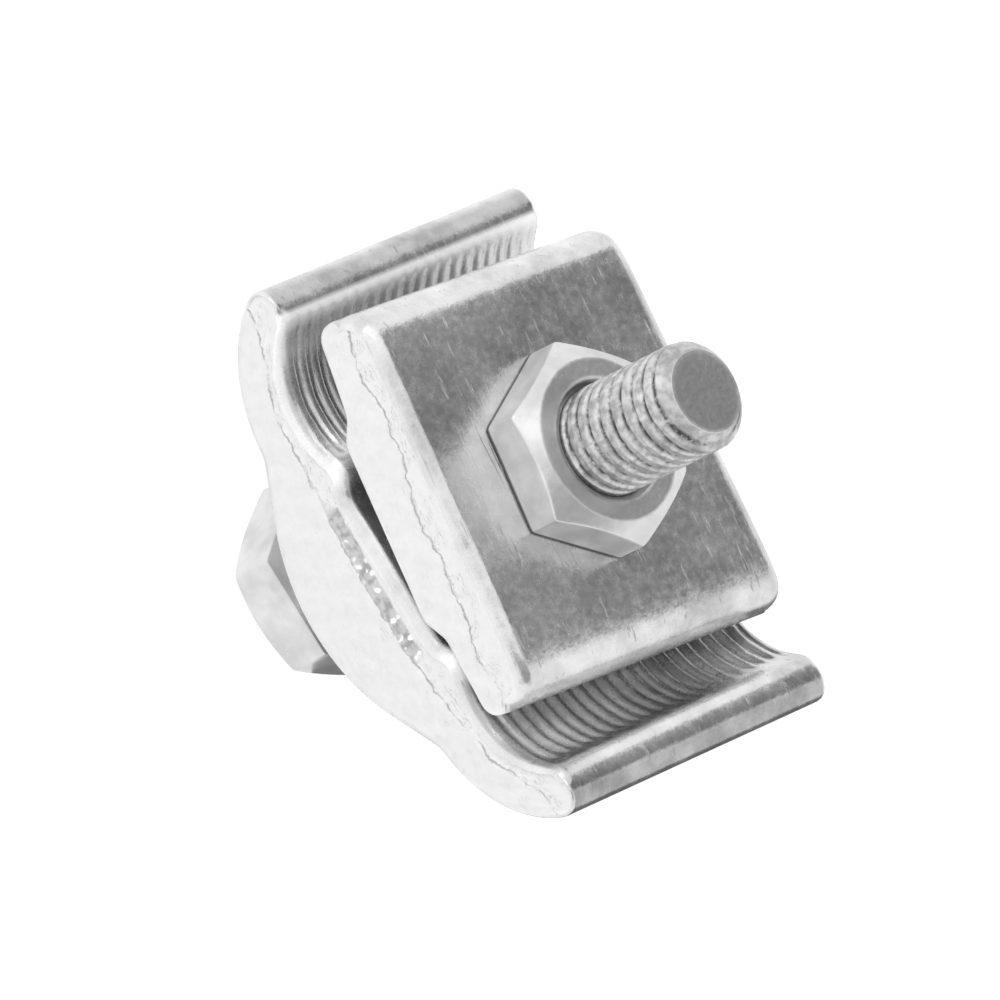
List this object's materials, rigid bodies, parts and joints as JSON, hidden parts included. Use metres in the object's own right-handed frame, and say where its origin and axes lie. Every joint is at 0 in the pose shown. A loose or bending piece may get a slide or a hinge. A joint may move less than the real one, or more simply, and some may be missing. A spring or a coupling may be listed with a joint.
{
  "type": "parallel groove clamp",
  "caption": "Single-bolt parallel groove clamp with a thick serrated base jaw, a flat keeper plate, a hexagon head bolt and a thin hexagon nut, shown slack.",
  "frame": {"origin": "on the bolt's axis, at the bottom face of its head", "axes": "+Z along the bolt towards its threaded end, +X along the conductor grooves, +Y across the jaws"},
  "size_m": [0.0332, 0.0521, 0.0551],
  "materials": {
    "galvanised_base": "hot-dip galvanised, mottled, semi-matt",
    "galvanised_keeper": "hot-dip galvanised, mottled and scratched, semi-matt",
    "zinc_bolt": "zinc coated, satin",
    "zinc_nut": "zinc coated, satin"
  },
  "bodies": {
    "bolt": {"hex_bolt": "zinc_bolt"},
    "base": {"base_jaw": "galvanised_base"},
    "keeper": {"keeper_plate": "galvanised_keeper"},
    "nut": {"hex_nut": "zinc_nut"}
  },
  "joints": [
    {"name": "base_rock", "type": "hinge", "parent": "bolt", "child": "base", "pos_m": [0, 0, 0.04151], "axis": [1, 0, 0], "range_deg": [0, 19.4]},
    {"name": "keeper_lift", "type": "slide", "parent": "bolt", "child": "keeper", "axis": [0, 0, 1], "range_m": [0, 0.0118]},
    {"name": "nut_turn", "type": "hinge", "parent": "keeper", "child": "nut", "pos_m": [0, 0, 0.03705], "axis": [0, 0, 1], "range_deg": [0, 2832.01]}
  ],
  "couplings": [
    {"joint": "nut_turn", "follows": "keeper_lift", "rad_per_m": 4188.8}
  ]
}
